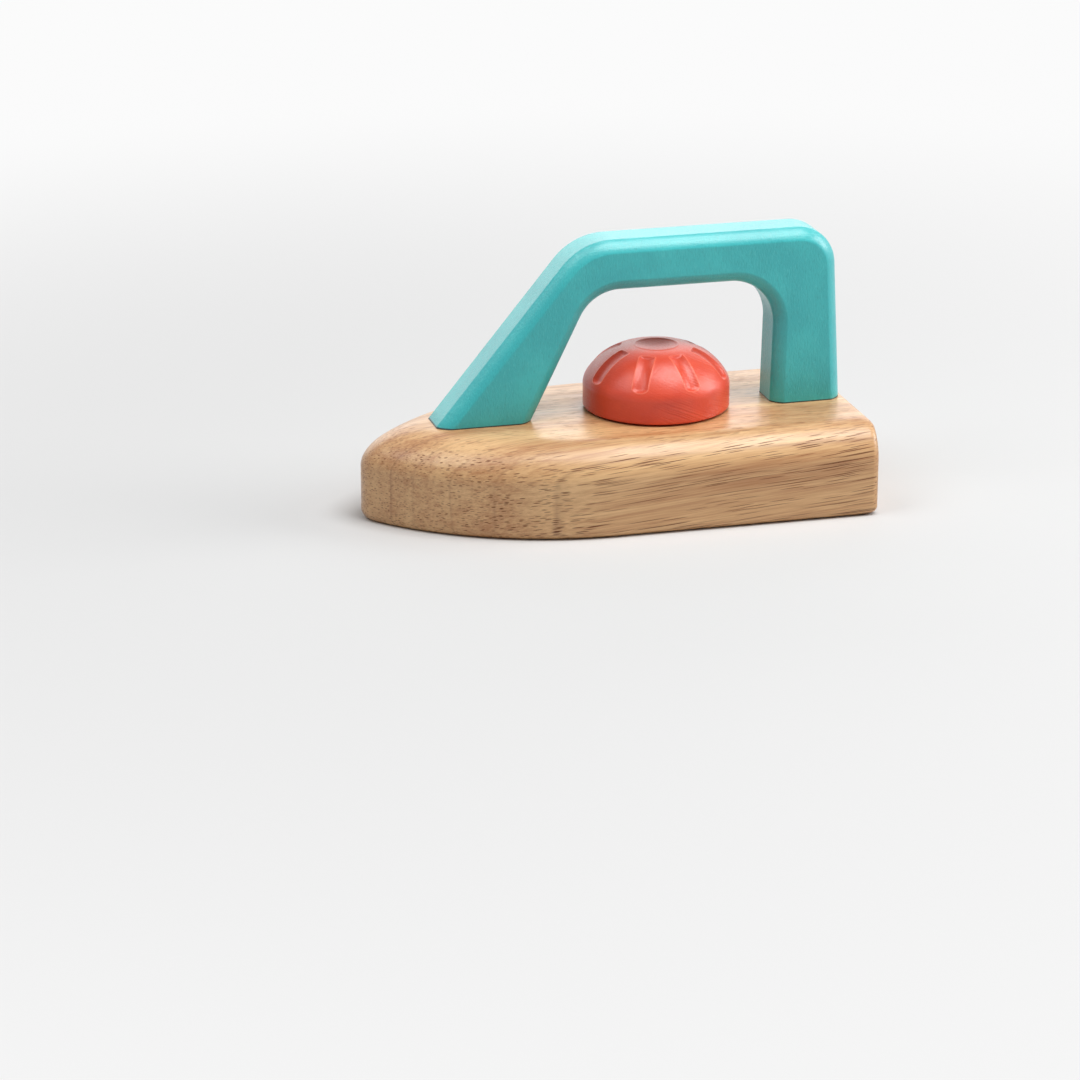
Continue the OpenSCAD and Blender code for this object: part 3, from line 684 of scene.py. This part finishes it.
def makeRed():
    mat, shader = newMaterial("red paint", Coat_Weight=red["coat"], Coat_Roughness=red["coatRough"])
    spot = place(mat)
    spot = add(mat, "VectorMath", {0: spot, 1: (-dialX, 0, 0)}, operation="ADD").outputs[0]
    axes = add(mat, "SeparateXYZ", {0: spot})
    flat = add(mat, "CombineXYZ", {0: axes.outputs["X"], 1: axes.outputs["Y"]}).outputs[0]
    away = add(mat, "VectorMath", {0: flat}, operation="LENGTH").outputs["Value"]
    # tool marks left by turning: fine rings about the axis
    level = add(mat, "CombineXYZ", {0: calc(mat, "MULTIPLY", away, 2.0),
                                    1: calc(mat, "MULTIPLY", axes.outputs["Z"], 2.0)}).outputs[0]
    toolMarks = noiseAt(mat, level, detail=3, roughness=0.6)
    # growth lines of the wood under the paint, as slanting planes
    slant = add(mat, "VectorMath", {0: spot, 1: red["sawTilt"]}, operation="DOT_PRODUCT").outputs["Value"]
    drift = noiseAt(mat, stretched(mat, spot, (0.06, 0.06, 0.06)), detail=2)
    slant = calc(mat, "ADD", calc(mat, "MULTIPLY", slant, 1.8), calc(mat, "MULTIPLY", drift, 3.0))
    lines = add(mat, "TexNoise", {"W": slant, "Scale": 1.0, "Detail": 1.0}, noise_dimensions="1D").outputs[0]
    patch = remap(mat, noiseAt(mat, stretched(mat, spot, (0.10, 0.10, 0.10)), detail=1), 0.30, 0.52)
    low = calc(mat, "SUBTRACT", axes.outputs["X"], axes.outputs["Z"])
    patch = calc(mat, "MULTIPLY", patch, remap(mat, low, -44, -28, 0.15, 1.0))
    lines = calc(mat, "MULTIPLY", remap(mat, lines, 0.30, 0.70), patch)
    speck = noiseAt(mat, stretched(mat, spot, (1.8, 1.8, 1.8)), detail=3, roughness=0.6)
    cloud = noiseAt(mat, stretched(mat, spot, (0.09, 0.09, 0.09)), detail=3)
    groove = add(mat, "Attribute", attribute_name="groove").outputs["Fac"]
    base = blendColour(mat, remap(mat, cloud, 0.35, 0.65, 0.0, red["cloudAmount"]), red["body"], red["deep"])
    # painted shade: the paint darkens towards the bottom of each groove
    base = blendColour(mat, remap(mat, groove, 0.10, 0.8, 0.0, red["grooveShade"]), base, red["deep"])
    # painted highlight: a pale line along the raised lip round each groove
    edge = calc(mat, "MULTIPLY", remap(mat, groove, -0.008, -0.04), red["lipHighlight"])
    base = blendColour(mat, edge, base, red["thinPaintAndHighlight"])
    base = blendColour(mat, calc(mat, "MULTIPLY", lines, red["sawAmount"]), base, red["thinPaintAndHighlight"])
    base = blendColour(mat, remap(mat, speck, 0.58, 0.78, 0.0, red["thinAmount"]), base, red["thinPaintAndHighlight"])
    wire(mat, base, shader.inputs["Base Color"])
    gloss = remap(mat, speck, 0.3, 0.7, red["rough"] - 0.04, red["rough"] + 0.10)
    wire(mat, gloss, shader.inputs["Roughness"])
    normal = bumpOf(mat, toolMarks, red["turnDepth"])
    normal = bumpOf(mat, lines, red["sawDepth"], normal)
    normal = bumpOf(mat, speck, red["speckDepth"], normal)
    wire(mat, normal, shader.inputs["Normal"])
    return mat


# inner pieces

inner = {
    "birch": colour(222, 196, 152), "birchDark": colour(196, 162, 112),
    "steel": (0.56, 0.57, 0.58, 1), "steelDark": (0.40, 0.41, 0.42, 1),
    "acetal": (0.80, 0.80, 0.77, 1), "acetalWarm": (0.74, 0.73, 0.68, 1),
    "grey": (0.10, 0.10, 0.11, 1), "greyPale": (0.15, 0.15, 0.16, 1),
    "brass": (0.74, 0.53, 0.22, 1), "brassDark": (0.58, 0.38, 0.14, 1),
}


def makePlain(name, first, second, stretch, rough, depth, metal=0.0):
    mat, shader = newMaterial(name, Metallic=metal)
    spot = place(mat)
    lines = noiseAt(mat, stretched(mat, spot, stretch), detail=4, roughness=0.6)
    patches = noiseAt(mat, stretched(mat, spot, (0.25, 0.25, 0.25)), detail=3)
    base = blendColour(mat, remap(mat, lines, 0.35, 0.7), first, second)
    base = blendColour(mat, remap(mat, patches, 0.4, 0.7, 0.0, 0.4), base, second)
    wire(mat, base, shader.inputs["Base Color"])
    wire(mat, remap(mat, patches, 0.3, 0.7, rough - 0.05, rough + 0.08), shader.inputs["Roughness"])
    wire(mat, bumpOf(mat, lines, depth), shader.inputs["Normal"])
    return mat


def wear(obj, mat):
    obj.data.materials.clear()
    obj.data.materials.append(mat)
    for face in obj.data.polygons:
        face.material_index = 0


blockWood = makeWood("lacquered wood")
plugWood = makeWood("plug wood", turnZ=72.0, shift=(40, 8, 5))
wear(blockPiece, blockWood)
wear(handlePiece, makeTeal())
wear(dialPiece, makeRed())
wear(nodes["sole_plug"], plugWood)
birch = makePlain("dowel birch", inner["birch"], inner["birchDark"], (2.0, 2.0, 0.12), 0.6, 0.02)
steel = makePlain("turned steel", inner["steel"], inner["steelDark"], (0.4, 0.4, 6.0), 0.30, 0.006, 1.0)
wireSteel = makePlain("spring wire", inner["steel"], inner["steelDark"], (2.0, 2.0, 2.0), 0.26, 0.004, 1.0)
acetal = makePlain("acetal", inner["acetal"], inner["acetalWarm"], (0.6, 0.6, 0.6), 0.42, 0.006)
moulded = makePlain("moulded plastic", inner["grey"], inner["greyPale"], (3.0, 3.0, 3.0), 0.5, 0.012)
brass = makePlain("turned brass", inner["brass"], inner["brassDark"], (0.3, 0.3, 5.0), 0.28, 0.006, 1.0)
finishes = {
    "axle": steel, "wheel_screws": steel, "spring_washer": steel, "retaining_washer": steel,
    "axle_screw": steel, "plunger_spring": wireSteel, "click_wheel": acetal, "upper_bush": acetal,
    "lower_bush": acetal, "plunger_sleeve": moulded, "plunger": brass,
}
for name in dowels:
    finishes[name] = birch
for name, mat in finishes.items():
    wear(nodes[name], mat)
print("materials set")


# floor, light and camera

studio = {
    "floor": colour(212, 212, 212), "backdrop": colour(247, 247, 247), "fadeFrom": 0.10, "fadeTo": 0.55,
    "floorSize": 8.0, "floorRough": 0.9, "floorShine": 0.1, "worldLevel": 0.08, "aim": (0, 0, 0.03),
    # name, place, size and power of each soft box
    "boxes": [
        ("top box", (0.34, -0.32, 1.40), (0.9, 0.9), 18.5),
        ("key box", (1.50, -0.25, 0.70), (0.8, 0.8), 13.5),
        ("back box", (0.15, 1.90, 0.75), (2.9, 0.9), 10.5),
        ("left box", (-0.80, -0.15, 1.25), (0.8, 0.9), 6.5),
    ],
    "eye": (-0.318424, -1.108493, 0.386434), "tiltDeg": 70.8639, "yawDeg": -15.0651, "lens": 133.3333,
    "sensor": 36.0, "clipFrom": 0.05, "clipTo": 50.0,
}


def makeFloor():
    half = studio["floorSize"] / 2
    mesh = bpy.data.meshes.new("floor")
    corners = [(-half, -half, 0), (half, -half, 0), (half, half, 0), (-half, half, 0)]
    mesh.from_pydata(corners, [], [(0, 1, 2, 3)])
    floor = bpy.data.objects.new("floor", mesh)
    bpy.context.scene.collection.objects.link(floor)
    mat, shader = newMaterial("floor", Roughness=studio["floorRough"],
                              Specular_IOR_Level=studio["floorShine"], Emission_Color=studio["backdrop"])
    # the floor turns into an even pale backdrop away from the iron
    spot = add(mat, "TexCoord").outputs["Object"]
    away = add(mat, "VectorMath", {0: spot}, operation="LENGTH").outputs["Value"]
    fade = remap(mat, away, studio["fadeFrom"], studio["fadeTo"])
    wire(mat, blendColour(mat, fade, studio["floor"], (0, 0, 0, 1)), shader.inputs["Base Color"])
    wire(mat, fade, shader.inputs["Emission Strength"])
    mat.cycles.emission_sampling = "NONE"
    floor.data.materials.append(mat)


def softBox(name, at, size, power):
    data = bpy.data.lights.new(name, "AREA")
    data.shape = "RECTANGLE"
    data.size, data.size_y = size
    data.energy = power
    lamp = bpy.data.objects.new(name, data)
    bpy.context.scene.collection.objects.link(lamp)
    lamp.location = at
    lamp.rotation_mode = "QUATERNION"
    lamp.rotation_quaternion = (Vector(studio["aim"]) - Vector(at)).to_track_quat("-Z", "Y")
    lamp.visible_camera = False


def makeWorld():
    world = bpy.data.worlds.new("studio")
    bpy.context.scene.world = world
    world.use_nodes = True
    tree = world.node_tree
    back = tree.nodes["Background"]
    back.inputs["Color"].default_value = (1, 1, 1, 1)
    path = tree.nodes.new("ShaderNodeLightPath")
    seen = tree.nodes.new("ShaderNodeMath")
    seen.operation = "MAXIMUM"
    tree.links.new(path.outputs["Is Camera Ray"], seen.inputs[0])
    tree.links.new(path.outputs["Is Glossy Ray"], seen.inputs[1])
    level = tree.nodes.new("ShaderNodeMapRange")
    tree.links.new(seen.outputs[0], level.inputs["Value"])
    level.inputs["To Min"].default_value = studio["worldLevel"]
    level.inputs["To Max"].default_value = 1.0
    tree.links.new(level.outputs[0], back.inputs["Strength"])


def makeCamera():
    data = bpy.data.cameras.new("photo view")
    data.sensor_width = studio["sensor"]
    data.lens = studio["lens"]
    data.clip_start = studio["clipFrom"]
    data.clip_end = studio["clipTo"]
    eye = bpy.data.objects.new("photo view", data)
    bpy.context.scene.collection.objects.link(eye)
    eye.location = studio["eye"]
    eye.rotation_euler = (math.radians(studio["tiltDeg"]), 0, math.radians(studio["yawDeg"]))
    bpy.context.scene.camera = eye


makeFloor()
for box in studio["boxes"]:
    softBox(*box)
makeWorld()
makeCamera()
bpy.context.scene.view_settings.view_transform = "Standard"
print("floor, light and camera set")
